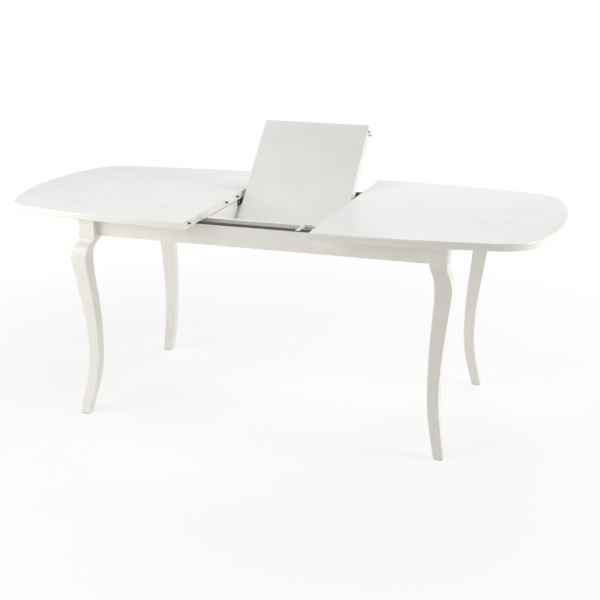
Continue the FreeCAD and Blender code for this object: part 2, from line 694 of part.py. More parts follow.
def bush(side):
    """Flanged bush in a cross board."""
    face = side * BOARD_INNER_X
    flange = rod(BUSH_FLANGE_RADIUS, (face - side * BUSH_FLANGE, PIVOT_Y, PIVOT_Z),
                 (face, PIVOT_Y, PIVOT_Z))
    body = rod(BUSH_RADIUS, (face, PIVOT_Y, PIVOT_Z), (side * BOARD_OUTER_X, PIVOT_Y, PIVOT_Z))
    bore = rod(PIN_RADIUS + RUNNING, (face - side * 5, PIVOT_Y, PIVOT_Z),
               (side * (BOARD_OUTER_X + 1), PIVOT_Y, PIVOT_Z))
    return flange.fuse(body).cut(bore)


def main():
    os.makedirs("parts", exist_ok=True)
    corners = [(f"{e}_{s}", SIDES[s], ENDS[e]) for e in ENDS for s in SIDES]

    for name, sx, sy in corners:
        save(f"leg_{name}", leg(sx, sy))
        save(f"glide_{name}", glide(sx, sy))
        save(f"corner_brace_{name}", brace(sx, sy))
        save(f"slide_runner_{name}", runner(sx, sy))
        save(f"slide_angle_{name}", angle(sx, sy))
    save("hanger_bolts", group([hanger_bolt(sx, sy, z) for _, sx, sy in corners
                                for z in BOLT_HEIGHTS]))
    save("hanger_nuts", group([hanger_nut(sx, sy, z) for _, sx, sy in corners
                               for z in BOLT_HEIGHTS]))

    for name, end in ENDS.items():
        save(f"apron_{name}", long_apron(end))
        save(f"slide_rail_{name}", slide_rail(end))

    for name, side in SIDES.items():
        save(f"top_{name}", half_top(side))
        save(f"top_screws_{name}", top_screws(side))
        save(f"slide_rivets_{name}", angle_rivets(side))
        save(f"apron_{name}", end_apron(side))
        save(f"cross_board_{name}", cross_board(side))
        save(f"pivot_plate_{name}", pivot_plate(side))
        save(f"pivot_bush_{name}", bush(side))
        save(f"pivot_pin_{name}", on_pivot(pivot_pin(side)))
        save(f"pivot_spacer_{name}", on_pivot(spacer(side)))
        save(f"pivot_bracket_{name}", on_pivot(bracket(side)))
    save("alignment_pegs_top", top_pegs())
    save("pivot_plate_screws", plate_screws())
    save("slide_rail_screws", rail_screws())

    save("well_rail", well_rail())
    save("tie_bracket", tie_bracket())
    save("tie_bracket_screws", tie_screws())

    save("leaf_rear", on_pivot(leaf_half(1)))
    save("leaf_front", folded(leaf_half(-1)))
    save("alignment_pegs_leaf_rear", on_pivot(leaf_pegs(1)))
    save("alignment_pegs_leaf_front", folded(leaf_pegs(-1)))
    save("leaf_hinge_plates_rear", on_pivot(hinge_plates(1)))
    save("leaf_hinge_plates_front", folded(hinge_plates(-1)))
    save("leaf_hinge_pins", on_pivot(hinge_pins()))
    save("pivot_bracket_screws", on_pivot(bracket_screws()))


main()
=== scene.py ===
import json
import math

import bmesh
import bpy
from mathutils import Matrix, Vector


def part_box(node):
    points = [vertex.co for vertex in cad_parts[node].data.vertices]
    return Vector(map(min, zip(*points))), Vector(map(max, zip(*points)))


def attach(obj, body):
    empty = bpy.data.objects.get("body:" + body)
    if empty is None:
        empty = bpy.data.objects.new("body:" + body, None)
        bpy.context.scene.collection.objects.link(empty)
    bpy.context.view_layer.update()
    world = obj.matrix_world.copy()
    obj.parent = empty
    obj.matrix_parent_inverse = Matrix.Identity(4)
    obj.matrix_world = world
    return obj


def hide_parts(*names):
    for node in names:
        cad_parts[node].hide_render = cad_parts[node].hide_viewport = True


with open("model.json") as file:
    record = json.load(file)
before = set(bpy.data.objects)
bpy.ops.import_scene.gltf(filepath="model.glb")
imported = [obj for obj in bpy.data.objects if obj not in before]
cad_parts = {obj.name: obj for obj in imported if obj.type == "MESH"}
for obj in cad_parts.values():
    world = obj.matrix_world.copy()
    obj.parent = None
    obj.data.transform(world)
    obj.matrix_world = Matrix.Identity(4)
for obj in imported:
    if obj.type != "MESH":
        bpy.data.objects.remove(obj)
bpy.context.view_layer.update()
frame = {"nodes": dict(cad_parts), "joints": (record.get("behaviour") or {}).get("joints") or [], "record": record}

# Extendable dining table, standing open with its folding leaf half raised. The wood, the slides'
# channels and the sheet metal keep their CAD shapes and get their finishes here; screws, bolts,
# ball bearings, pegs and glides are made here in full. Metres, +Z up, X along the table, front
# at -Y.

bl_info = {
    "name": "Extendable Dining Table",
    "version": (1, 0, 0),
    "blender": (4, 5, 0),
    "location": "View3D > Sidebar > Table",
    "description": "Finishes and hardware of a lacquered dining table with a folding leaf",
    "category": "Object",
}

JOINTS = {joint["name"]: joint for joint in frame["joints"]}
SIDES = {"left": -1, "right": 1}
ENDS = {"front": -1, "rear": 1}

# The leaf's own frame: what lies flat in it stands tilted on the leaf's pivot at rest
PIVOT = Vector(JOINTS["leaf_stow"]["pos_m"])
LEAF_TILT = math.radians(JOINTS["leaf_lower"]["range_deg"][1])
ON_LEAF = (Matrix.Translation(PIVOT) @ Matrix.Rotation(LEAF_TILT, 4, "X")
           @ Matrix.Translation(-PIVOT))
UPRIGHT = Matrix.Identity(4)
DIAGONAL = Matrix.Rotation(math.radians(45), 4, "Z")

# Fastener sizes that the CAD solids have too, in metres
SCREW_HEAD_RADIUS = 0.004
SCREW_HEAD_THICK = 0.0016
SCREW_RADIUS = 0.002
BOLT_RADIUS = 0.004
BOLT_END_RADIUS = 0.0031
BOLT_CHAMFER = 0.0008
THREAD_DEPTH = 0.0007
WASHER_RADIUS = 0.008
WASHER_THICK = 0.0016
NUT_FLATS = 0.013
NUT_HEIGHT = 0.0065
PEG_PROUD = 0.010

# Slide runners: bends, the gap to the channel's back, and the ball cage's sheet
BEND = 0.002
BACK_GAP = 0.0004
CAGE_SHEET = 0.0008
ROW_END = 0.01


def linear(colour):
    """Linear red, green and blue of an sRGB hex colour."""
    values = [int(colour[k:k + 2], 16) / 255 for k in (0, 2, 4)]
    return [v / 12.92 if v <= 0.04045 else ((v + 0.055) / 1.055) ** 2.4 for v in values]


def colour_setting(name, description, colour):
    """A colour in the sidebar, with an sRGB hex colour as its default."""
    return bpy.props.FloatVectorProperty(
        name=name, description=description, default=linear(colour), subtype="COLOR",
        size=3, min=0, max=1)


def length_setting(name, description, default):
    """A length in the sidebar, in metres."""
    return bpy.props.FloatProperty(
        name=name, description=description, default=default, unit="LENGTH", min=0,
        precision=4)


def power_setting(name, description, watts):
    """A lamp's power in the sidebar."""
    return bpy.props.FloatProperty(
        name=name, description=description, default=watts, unit="POWER", min=0)


class TableFinish(bpy.types.PropertyGroup):
    """Colours of the table's finishes"""

    lacquer: colour_setting("Lacquer", "Full coat of the white lacquer", "F3F2EF")
    lacquer_thin: colour_setting("Thin lacquer", "Lacquer where the coat is thinner", "EEEDE8")
    beech: colour_setting("Beech", "Early wood of bare planed beech", "D9BC93")
    beech_dark: colour_setting("Dark beech", "Late wood and flecks of the beech", "B8925F")
    black_coat: colour_setting("Black coat", "Electrocoat on the slides", "17181A")
    powder: colour_setting("Powder coat", "White powder coat on the bracket", "EFEFED")
    zinc: colour_setting("Zinc", "Bright zinc plate", "CFD2D4")
    zinc_straw: colour_setting("Straw zinc", "Passivated tint of the zinc", "CBC7B6")
    bearing: colour_setting("Bearing steel", "Polished balls in the slides", "D8D9DB")
    nylon: colour_setting("Nylon", "Moulded glides and bushes", "1C1C1D")
    # Painted shade: the left top's pegs are coloured dark grey to stand for the shade in the holes at its edge;
    # the pegs themselves are pale grey like the leaf's
    peg: colour_setting("Pegs", "Moulded alignment pegs of the tops", "4A4A4C")
    pale_peg: colour_setting("Leaf pegs", "Moulded alignment pegs of the leaf", "B4B5B8")


class TableHardware(bpy.types.PropertyGroup):
    """Sizes of the small parts"""

    recess: length_setting("Recess", "Across a screw's cross recess", 0.0042)
    screw_pitch: length_setting("Wood screw pitch", "Between two turns of its thread", 0.0016)
    bolt_pitch: length_setting("Bolt pitch", "Between two turns of its thread", 0.00125)
    ball: length_setting("Ball", "Diameter of a bearing ball", 0.0056)
    ball_spacing: length_setting("Ball spacing", "Between two balls in a row", 0.0125)
    sheet: length_setting("Sheet", "Thickness of a slide's inner member", 0.0014)
    peg_tip: length_setting("Peg tip", "Rounding at the end of a peg", 0.0012)
    glide_edge: length_setting("Glide edge", "Rounding of a glide's edges", 0.0012)


class TableStage(bpy.types.PropertyGroup):
    """Floor, light and camera"""

    sky: bpy.props.FloatProperty(
        name="Sky", description="Level of the even light from all round", default=0.28, min=0)
    overhead: power_setting("Overhead", "Softbox above the front left", 11)
    rear: power_setting("Rear", "Softbox above and behind", 24)
    left: power_setting("Left", "Low softbox at the front left", 9)
    right: power_setting("Right", "Large softbox at the right", 100)
    front: power_setting("Front", "Large softbox in front", 42)
    floor: colour_setting("Floor", "Pale floor as the table sees it", "F5F2EC")
    shade: bpy.props.FloatProperty(
        name="Shade", description="How much of the floor's shadows shows", default=0.3, min=0,
        max=1, subtype="FACTOR")
    glow: bpy.props.FloatProperty(
        name="Glow", description="Floor's own light, which lifts it to white", default=0.71,
        min=0)
    near: length_setting("Near", "How far from the middle the floor keeps its shadow", 1.1)
    far: length_setting("Far", "How far from the middle the floor is plain white", 2.1)
    lens: bpy.props.FloatProperty(
        name="Lens", description="Focal length", default=73.08, unit="CAMERA")
    camera: bpy.props.FloatVectorProperty(
        name="Camera", description="Place of the camera", default=(1.3036, -4.03, 1.6427),
        subtype="TRANSLATION", unit="LENGTH")
    turn: bpy.props.FloatVectorProperty(
        name="Turn", description="Tilt, roll and heading of the camera",
        default=[math.radians(a) for a in (73.38, 0.47, 17.39)], subtype="EULER",
        unit="ROTATION")


# Materials

def per_metre(millimetres):
    """Texture scale at which one repeat measures so many millimetres."""
    return 1000 / millimetres


def add_node(tree, kind, values=(), links=(), **settings):
    """Adds a node, sets its properties and input values, and links its inputs."""
    node = tree.nodes.new("ShaderNode" + kind)
    for name, value in settings.items():
        setattr(node, name, value)
    for socket, value in dict(values).items():
        node.inputs[socket].default_value = value
    for socket, source in dict(links).items():
        tree.links.new(source, node.inputs[socket])
    return node


def new_material(name, **constants):
    """A material, its nodes, its shader with constants set, and the object's coordinates."""
    material = bpy.data.materials.new(name)
    material.use_nodes = True
    tree = material.node_tree
    shader = tree.nodes["Principled BSDF"]
    for socket, value in constants.items():
        shader.inputs[socket.replace("_", " ")].default_value = value
    place = add_node(tree, "TexCoord").outputs["Object"]
    return material, tree, shader, place


def blend_colours(tree, shader, factor, low, high):
    """Runs the base colour from one colour to another as a noise goes from low to high."""
    share = add_node(tree, "MapRange", {"From Min": 0.3, "From Max": 0.7}, {"Value": factor})
    mix = add_node(tree, "Mix", {6: (*low, 1), 7: (*high, 1)}, {0: share.outputs[0]},
                   data_type="RGBA")
    tree.links.new(mix.outputs[2], shader.inputs["Base Color"])


def blend_roughness(tree, shader, factor, low, high):
    """Runs the roughness from one value to another as a noise goes from low to high."""
    share = add_node(tree, "MapRange",
                     {"From Min": 0.3, "From Max": 0.7, "To Min": low, "To Max": high},
                     {"Value": factor})
    tree.links.new(share.outputs[0], shader.inputs["Roughness"])


def raise_bumps(tree, shader, height, depth):
    """Turns a pattern's height into relief so many millimetres deep."""
    bump = add_node(tree, "Bump", {"Strength": 1, "Distance": depth / 1000}, {"Height": height})
    tree.links.new(bump.outputs["Normal"], shader.inputs["Normal"])


def seen_directly(tree):
    """1 where the camera, a reflection or a transmission looks at it, and 0 for its light."""
    ray = add_node(tree, "LightPath")
    either = add_node(tree, "Math", {}, {0: ray.outputs["Is Camera Ray"],
                                         1: ray.outputs["Is Glossy Ray"]}, operation="MAXIMUM")
    any_of = add_node(tree, "Math", {}, {0: either.outputs[0],
                                         1: ray.outputs["Is Transmission Ray"]},
                      operation="MAXIMUM")
    return any_of.outputs[0]


def lacquer_on_board(finish):
    """White satin polyurethane, sprayed on fibreboard and left as it flowed out.

    The film's thickness drifts over hand-sized patches, and its orange peel gives reflections
    a faint ripple. Real peel is 2 to 3 mm; it is drawn at 30 mm to show."""
    material, tree, shader, place = new_material("sprayed_lacquer_on_board", IOR=1.5)
    patches = add_node(tree, "TexNoise", {"Scale": per_metre(160), "Detail": 2},
                       {"Vector": place})
    blend_colours(tree, shader, patches.outputs[0], finish.lacquer_thin, finish.lacquer)
    peel = add_node(tree, "TexNoise", {"Scale": per_metre(30), "Detail": 1, "Roughness": 0.4},
                    {"Vector": place})
    blend_roughness(tree, shader, peel.outputs[0], 0.22, 0.26)
    raise_bumps(tree, shader, peel.outputs[0], 0.02)
    return material


def lacquer_on_beech(finish, way, streak):
    """The same lacquer on solid beech: grain shows through the film as fine long streaks.

    Beech pores are 0.1 mm wide; the streaks are drawn 4 mm wide and 90 mm long to show.
    way names the grain's direction, and streak is their size along X, Y and Z."""
    material, tree, shader, place = new_material(f"sprayed_lacquer_on_beech_{way}", IOR=1.5)
    stretched = add_node(tree, "Mapping", {"Scale": [per_metre(size) for size in streak]},
                         {"Vector": place})
    streaks = add_node(tree, "TexNoise", {"Scale": 1, "Detail": 3, "Roughness": 0.6},
                       {"Vector": stretched.outputs[0]})
    blend_colours(tree, shader, streaks.outputs[0], finish.lacquer_thin, finish.lacquer)
    blend_roughness(tree, shader, streaks.outputs[0], 0.36, 0.29)
    raise_bumps(tree, shader, streaks.outputs[0], 0.012)
    return material


def planed_beech(finish, way):
    """Bare planed beech: pale pinkish straw with short dark flecks along the grain.

    way is the compass angle of the grain in degrees. Growth bands are 5 mm wide here, and the
    flecks 1 mm by 14 mm."""
    material, tree, shader, place = new_material(f"planed_beech_{way}", IOR=1.5)
    along = add_node(tree, "Mapping", {"Rotation": (0, 0, math.radians(-way))},
                     {"Vector": place})
    long_way = add_node(tree, "Mapping",
                        {"Scale": (per_metre(120), per_metre(5), per_metre(5))},
                        {"Vector": along.outputs[0]})
    bands = add_node(tree, "TexNoise", {"Scale": 1, "Detail": 4, "Roughness": 0.55},
                     {"Vector": long_way.outputs[0]})
    short_way = add_node(tree, "Mapping",
                         {"Scale": (per_metre(14), per_metre(1), per_metre(1))},
                         {"Vector": along.outputs[0]})
    flecks = add_node(tree, "TexNoise", {"Scale": 1, "Detail": 2, "Roughness": 0.5},
                      {"Vector": short_way.outputs[0]})
    both = add_node(tree, "Math", {}, {0: bands.outputs[0], 1: flecks.outputs[0]},
                    operation="ADD")
    half = add_node(tree, "Math", {1: 0.5}, {0: both.outputs[0]}, operation="MULTIPLY")
    blend_colours(tree, shader, half.outputs[0], finish.beech_dark, finish.beech)
    blend_roughness(tree, shader, flecks.outputs[0], 0.72, 0.6)
    raise_bumps(tree, shader, flecks.outputs[0], 0.05)
    return material


def black_electrocoat(finish):
    """Black paint drawn on to cold-rolled steel in a bath: thin, even and nearly matt.

    The rolled surface below gives it a fine tooth, drawn at 2 mm to show."""
    material, tree, shader, place = new_material("black_electrocoat_on_steel", IOR=1.5)
    tooth = add_node(tree, "TexNoise", {"Scale": per_metre(2), "Detail": 2}, {"Vector": place})
    lighter = [c * 1.5 + 0.004 for c in finish.black_coat]
    blend_colours(tree, shader, tooth.outputs[0], finish.black_coat, lighter)
    blend_roughness(tree, shader, tooth.outputs[0], 0.68, 0.8)
    raise_bumps(tree, shader, tooth.outputs[0], 0.02)
    return material


def powder_coat(finish):
    """White polyester powder baked on steel: thicker than paint, with a fine lumpy peel.

    The lumps are 1.5 mm across; the coat is a little darker where it draws thin over them."""
    material, tree, shader, place = new_material("white_powder_coat_on_steel", IOR=1.5)
    lumps = add_node(tree, "TexNoise", {"Scale": per_metre(1.5), "Detail": 1},
                     {"Vector": place})
    darker = [c * 0.9 for c in finish.powder]
    blend_colours(tree, shader, lumps.outputs[0], darker, finish.powder)
    blend_roughness(tree, shader, lumps.outputs[0], 0.34, 0.44)
    raise_bumps(tree, shader, lumps.outputs[0], 0.03)
    return material


def zinc_plate(finish):
    """Bright zinc, barrel plated and passivated: silver with faint straw-coloured clouds.

    Clouds are 12 mm across; the tumbling leaves fine scuffs about 1 mm apart."""
    material, tree, shader, place = new_material("bright_zinc_plate", Metallic=1)
    clouds = add_node(tree, "TexNoise", {"Scale": per_metre(12), "Detail": 2},
                      {"Vector": place})
    blend_colours(tree, shader, clouds.outputs[0], finish.zinc, finish.zinc_straw)
    scuffs = add_node(tree, "TexNoise", {"Scale": per_metre(1), "Detail": 3},
                      {"Vector": place})
    blend_roughness(tree, shader, scuffs.outputs[0], 0.24, 0.4)
    raise_bumps(tree, shader, scuffs.outputs[0], 0.006)
    return material


def bearing_steel(finish):
    """Ground and polished chrome steel, under a thin film of grease that breaks its shine."""
    material, tree, shader, place = new_material("polished_bearing_steel", Metallic=1)
    grease = add_node(tree, "TexNoise", {"Scale": per_metre(3), "Detail": 2},
                      {"Vector": place})
    darker = [c * 0.82 for c in finish.bearing]
    blend_colours(tree, shader, grease.outputs[0], finish.bearing, darker)
    blend_roughness(tree, shader, grease.outputs[0], 0.06, 0.22)
    return material


def moulded_nylon(name, colour):
    """Nylon moulded in a spark-eroded tool: matt, with a fine even grain about 0.8 mm wide."""
    material, tree, shader, place = new_material(name, IOR=1.53)
    grain = add_node(tree, "TexNoise", {"Scale": per_metre(0.8), "Detail": 2},
                     {"Vector": place})
    lighter = [c * 1.35 + 0.004 for c in colour]
    blend_colours(tree, shader, grain.outputs[0], colour, lighter)
    blend_roughness(tree, shader, grain.outputs[0], 0.48, 0.62)
    raise_bumps(tree, shader, grain.outputs[0], 0.02)
    return material


def make_materials(finish):
    """Every material by its short name."""
    return {
        "board": lacquer_on_board(finish),
        "beech_upright": lacquer_on_beech(finish, "upright", (4, 4, 90)),
        "beech_lengthwise": lacquer_on_beech(finish, "lengthwise", (90, 4, 4)),
        "beech_crosswise": lacquer_on_beech(finish, "crosswise", (4, 90, 4)),
        "bare_beech": planed_beech(finish, 45),
        "bare_beech_across": planed_beech(finish, 135),
        "black": black_electrocoat(finish),
        "powder": powder_coat(finish),
        "zinc": zinc_plate(finish),
        "bearing": bearing_steel(finish),
        "nylon": moulded_nylon("black_moulded_nylon", finish.nylon),
        # Painted shade: the dark grey nylon stands for the shade in the holes at the left top's edge
        "peg": moulded_nylon("dark_nylon_as_painted_hole_shade", finish.peg),
        "pale_peg": moulded_nylon("pale_grey_moulded_nylon", finish.pale_peg),
    }


# Shapes

def circle(radius, height, steps=24):
    """Ring of points round Z; a radius of 0 gives the one point on the axis."""
    if radius == 0:
        return [Vector((0, 0, height))]
    turns = [2 * math.pi * k / steps for k in range(steps)]
    return [Vector((radius * math.cos(a), radius * math.sin(a), height)) for a in turns]


def skin(mesh, place, rings, closed=False):
    """Joins rings of points with faces, and the last ring to the first if closed."""
    made = [[mesh.verts.new(place @ point) for point in ring] for ring in rings]
    pairs = list(zip(made, made[1:])) + ([(made[-1], made[0])] if closed else [])
    for below, above in pairs:
        for k in range(max(len(below), len(above))):
            around = [below[k % len(below)], below[(k + 1) % len(below)],
                      above[(k + 1) % len(above)], above[k % len(above)]]
            corners = list(dict.fromkeys(around))
            if len(corners) > 2:
                mesh.faces.new(corners)
    return made


def turned(mesh, place, outline, steps=24):
    """Turned shape from pairs of height and radius along the axis."""
    return skin(mesh, place, [circle(radius, height, steps) for height, radius in outline])


def threaded_rings(start, end, radius, depth, pitch, steps=18):
    """Rings whose radius follows a thread round them, from one height to another."""
    rings = []
    count = round((end - start) / pitch * 6)
    for row in range(count + 1):
        height = start + (end - start) * row / count
        ring = []
        for k in range(steps):
            phase = (height / pitch - k / steps) % 1
            reach = radius - depth * abs(2 * phase - 1)
            turn = 2 * math.pi * k / steps
            ring.append(Vector((reach * math.cos(turn), reach * math.sin(turn), height)))
        rings.append(ring)
    return rings


def bent_strip(points, thick):
    """Closed outline of a bent strip of sheet, from its middle line."""
    mids = [Vector(point) for point in points]
    sides = []
    for k, here in enumerate(mids):
        before = here - mids[k - 1] if k else mids[1] - here
        after = mids[k + 1] - here if k + 1 < len(mids) else before
        way = (before.normalized() + after.normalized()).normalized()
        sides.append(Vector((-way.y, way.x)) * thick / 2)
    pairs = list(zip(mids, sides))
    return [mid + side for mid, side in pairs] + [mid - side for mid, side in reversed(pairs)]


def run_along(mesh, outline, out, start, finish):
    """Runs an outline in Y and Z along X, closed at both ends; out is the sign of Y."""
    rings = [[Vector((x, out * y, z)) for y, z in outline] for x in (start, finish)]
    for ring in skin(mesh, UPRIGHT, rings):
        mesh.faces.new(ring)


def facing(point, direction, own=UPRIGHT):
    """Matrix that puts Z along a direction at a point, both given in a frame of their own."""
    return own @ Matrix.Translation(point) @ direction.to_track_quat("Z", "Y").to_matrix().to_4x4()


def solids_of(node, own=UPRIGHT):
    """Lowest and highest corner of each solid of a CAD node, in a frame of its own."""
    mesh = bmesh.new()
    mesh.from_mesh(frame["nodes"][node].data)
    bmesh.ops.remove_doubles(mesh, verts=mesh.verts, dist=1e-6)
    mesh.transform(own.inverted())
    left, boxes = set(mesh.verts), []
    while left:
        found, front = set(), [left.pop()]
        while front:
            vert = front.pop()
            found.add(vert)
            near = {edge.other_vert(vert) for edge in vert.link_edges} & left
            left -= near
            front += near
        boxes.append(tuple(Vector(pick(v.co[k] for v in found) for k in range(3))
                           for pick in (min, max)))
    mesh.free()
    return sorted(boxes, key=lambda box: tuple(box[0]))


def add_piece(name, mesh, materials, body, replaced=(), smooth=35):
    """Finishes a mesh as an object that rides on a body and stands for CAD nodes."""
    bmesh.ops.recalc_face_normals(mesh, faces=mesh.faces)
    data = bpy.data.meshes.new(name)
    mesh.to_mesh(data)
    mesh.free()
    data.shade_smooth()
    data.set_sharp_from_angle(angle=math.radians(smooth))
    for material in materials:
        data.materials.append(material)
    piece = bpy.data.objects.new(name, data)
    bpy.context.scene.collection.objects.link(piece)
    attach(piece, body)
    if replaced:
        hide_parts(*replaced)
    return piece


def cross_recess(mesh, place, rim, height, across, depth):
    """Closes a round rim at a height with a flat that has a tapered cross recess in it."""
    arm, half = across / 2, across * 0.13
    quarter = [(arm, -half), (arm, half), (half, half)]
    outline = [Matrix.Rotation(math.radians(90 * turn), 2) @ Vector(point)
               for turn in range(4) for point in quarter]
    upper = [mesh.verts.new(place @ Vector((*p, height))) for p in outline]
    lower = [mesh.verts.new(place @ Vector((*(p * 0.55), height + depth))) for p in outline]
    edges = [mesh.edges.get((a, b)) or mesh.edges.new((a, b))
             for ring in (rim, upper) for a, b in zip(ring, ring[1:] + ring[:1])]
    bmesh.ops.triangle_fill(mesh, edges=edges, use_beauty=True)
    for k in range(len(upper)):
        after = (k + 1) % len(upper)
        mesh.faces.new((upper[k], upper[after], lower[after], lower[k]))
    mesh.faces.new(lower)


def wood_screw(mesh, place, length, hardware):
    """Pan-head wood screw: place has its origin under the head, Z going in."""
    head, thick, shank = SCREW_HEAD_RADIUS, SCREW_HEAD_THICK, SCREW_RADIUS
    made = turned(mesh, place, [(0, shank), (0, head), (-thick * 0.4, head),
                                (-thick * 0.8, head * 0.88), (-thick, head * 0.68)])
    across = min(hardware.recess, head * 1.15)
    cross_recess(mesh, place, made[-1], -thick, across, thick * 0.75)
    ridges = [(0, shank)]
    pitch = hardware.screw_pitch
    start, end = length * 0.2, length * 0.85
    count = int((end - start) / pitch)
    ridges.append((start, shank * 0.7))
    for k in range(count):
        low = start + k * pitch
        ridges += [(low + pitch * 0.4, shank), (low + pitch, shank * 0.7)]
    ridges.append((length, 0))
    turned(mesh, place, ridges, 12)


# Operators

MATERIALS = {}


class TablePiece:
    """What the operators share"""

    bl_options = {"REGISTER", "UNDO"}

    @staticmethod
    def parts(context):
        """The materials, made once, and the hardware's sizes."""
        scene = context.scene
        if not MATERIALS:
            MATERIALS.update(make_materials(scene.table_finish))
        return MATERIALS, scene.table_hardware


class TABLE_OT_finishes(TablePiece, bpy.types.Operator):
    """Give every CAD piece that stays the material of its finish"""

    bl_idname = "table.finishes"
    bl_label = "Finishes"

    def execute(self, context):
        materials, _ = self.parts(context)
        solid = {
            "leg_": "beech_upright", "apron_front": "beech_lengthwise",
            "apron_rear": "beech_lengthwise", "well_rail": "beech_lengthwise",
            "apron_left": "beech_crosswise", "apron_right": "beech_crosswise",
            "cross_board": "beech_crosswise",
        }
        by_slot = {
            "white_lacquer": "board", "raw_wood": "bare_beech", "black_steel": "black",
            "white_steel": "powder", "zinc_steel": "zinc", "black_plastic": "nylon",
            "peg_plastic": "peg",
        }
        slots = {part["node"]: part["material_slot"] for part in frame["record"]["subparts"]}
        for node, piece in frame["nodes"].items():
            name = by_slot[slots[node]]
            for start, beech in solid.items():
                if node.startswith(start):
                    name = beech
            if node in ("corner_brace_front_right", "corner_brace_rear_left"):
                name = "bare_beech_across"
            piece.data.materials.clear()
            piece.data.materials.append(materials[name])
        return {"FINISHED"}


class TABLE_OT_screws(TablePiece, bpy.types.Operator):
    """Make the wood screws, with cross recesses and threads, and the rivets"""

    bl_idname = "table.screws"
    bl_label = "Screws and Rivets"

    def execute(self, context):
        materials, hardware = self.parts(context)
        up, down = Vector((0, 0, 1)), Vector((0, 0, -1))
        front, rear = Vector((0, -1, 0)), Vector((0, 1, 0))
        left, right = Vector((-1, 0, 0)), Vector((1, 0, 0))
        groups = [
            ("pivot_plate_screws", "base_frame", UPRIGHT, [left] * 3 + [right] * 3),
            ("slide_rail_screws", "base_frame", UPRIGHT, [front] * 4 + [rear] * 4),
            ("tie_bracket_screws", "base_frame", UPRIGHT, [down, rear]),
            ("top_screws_left", "top_left_half", UPRIGHT, [up] * 6),
            ("top_screws_right", "top_right_half", UPRIGHT, [up] * 6),
            ("pivot_bracket_screws", "leaf_rear_half", ON_LEAF, [up] * 4),
        ]
        for node, body, own, ways in groups:
            mesh = bmesh.new()
            for (low, high), inward in zip(solids_of(node, own), ways, strict=True):
                whole = abs((high - low).dot(inward))
                start = (low + high) / 2 - inward * (whole / 2 - SCREW_HEAD_THICK)
                wood_screw(mesh, facing(start, inward, own), whole - SCREW_HEAD_THICK,
                           hardware)
            add_piece(f"{node}_cut", mesh, [materials["zinc"]], body, [node])
        for side in SIDES:
            mesh = bmesh.new()
            node = f"slide_rivets_{side}"
            for low, high in solids_of(node):
                middle = (low + high) / 2
                outward = Vector((0, math.copysign(1, middle.y), 0))
                half = (high.y - low.y) / 2
                turned(mesh, facing(middle - outward * half, outward),
                       [(0, 0), (0.0001, 0.0014), (0.0006, 0.0031), (0.0012, 0.0039),
                        (SCREW_HEAD_THICK, SCREW_HEAD_RADIUS),
                        (SCREW_HEAD_THICK, SCREW_RADIUS), (half * 2, SCREW_RADIUS),
                        (half * 2, 0)], 20)
            add_piece(f"{node}_domed", mesh, [materials["zinc"]], f"top_{side}_half",
                      [node])
        return {"FINISHED"}


class TABLE_OT_bolts(TablePiece, bpy.types.Operator):
    """Make the hanger bolts with their threads, and their washers and nuts"""

    bl_idname = "table.bolts"
    bl_label = "Hanger Bolts"

    def execute(self, context):
        materials, hardware = self.parts(context)
        bolts, nuts = bmesh.new(), bmesh.new()
        for low, high in solids_of("hanger_bolts", DIAGONAL):
            middle, size = (low + high) / 2, high - low
            axis = 0 if size.x > size.y else 1
            outward = Vector((0, 0, 0))
            outward[axis] = math.copysign(1, middle[axis])
            length = size[axis]
            thread = threaded_rings(BOLT_CHAMFER, length - BOLT_CHAMFER, BOLT_RADIUS,
                                    THREAD_DEPTH, hardware.bolt_pitch)
            rings = [circle(0, 0), circle(BOLT_END_RADIUS, 0, 18), *thread,
                     circle(BOLT_END_RADIUS, length, 18), circle(0, length)]
            skin(bolts, facing(middle - outward * length / 2, outward, DIAGONAL), rings)
        for low, high in solids_of("hanger_nuts", DIAGONAL):
            middle, size = (low + high) / 2, high - low
            axis = 0 if size.x < size.y else 1
            inward = Vector((0, 0, 0))
            inward[axis] = -math.copysign(1, middle[axis])
            self.nut(nuts, facing(middle - inward * size[axis] / 2, inward, DIAGONAL))
        add_piece("hanger_bolts_threaded", bolts, [materials["zinc"]], "base_frame",
                  ["hanger_bolts"])
        add_piece("hanger_nuts_chamfered", nuts, [materials["zinc"]], "base_frame",
                  ["hanger_nuts"])
        return {"FINISHED"}

    @staticmethod
    def nut(mesh, place):
        """Washer with eased edges and a hexagon nut chamfered on its outer face."""
        bore, rim, eased = BOLT_RADIUS + 0.00005, WASHER_RADIUS, WASHER_RADIUS - 0.0002
        skin(mesh, place, [circle(bore, 0), circle(eased, 0), circle(rim, 0.0003),
                           circle(rim, WASHER_THICK - 0.0003), circle(eased, WASHER_THICK),
                           circle(bore, WASHER_THICK)], closed=True)
        top = WASHER_THICK + NUT_HEIGHT

        def hexagon(height):
            """Ring of 24 points round a hexagon, at a height."""
            points = []
            for k in range(24):
                turn = math.radians(15 * k)
                reach = (NUT_FLATS / 2
                         / math.cos((turn + math.pi / 6) % (math.pi / 3) - math.pi / 6))
                points.append(Vector((reach * math.cos(turn), reach * math.sin(turn), height)))
            return points

        skin(mesh, place, [circle(bore, WASHER_THICK), circle(NUT_FLATS / 2, WASHER_THICK),
                           hexagon(WASHER_THICK + 0.0008), hexagon(top - 0.0008),
                           circle(NUT_FLATS * 0.475, top), circle(bore + 0.0005, top),
                           circle(bore, top - 0.0005)], closed=True)


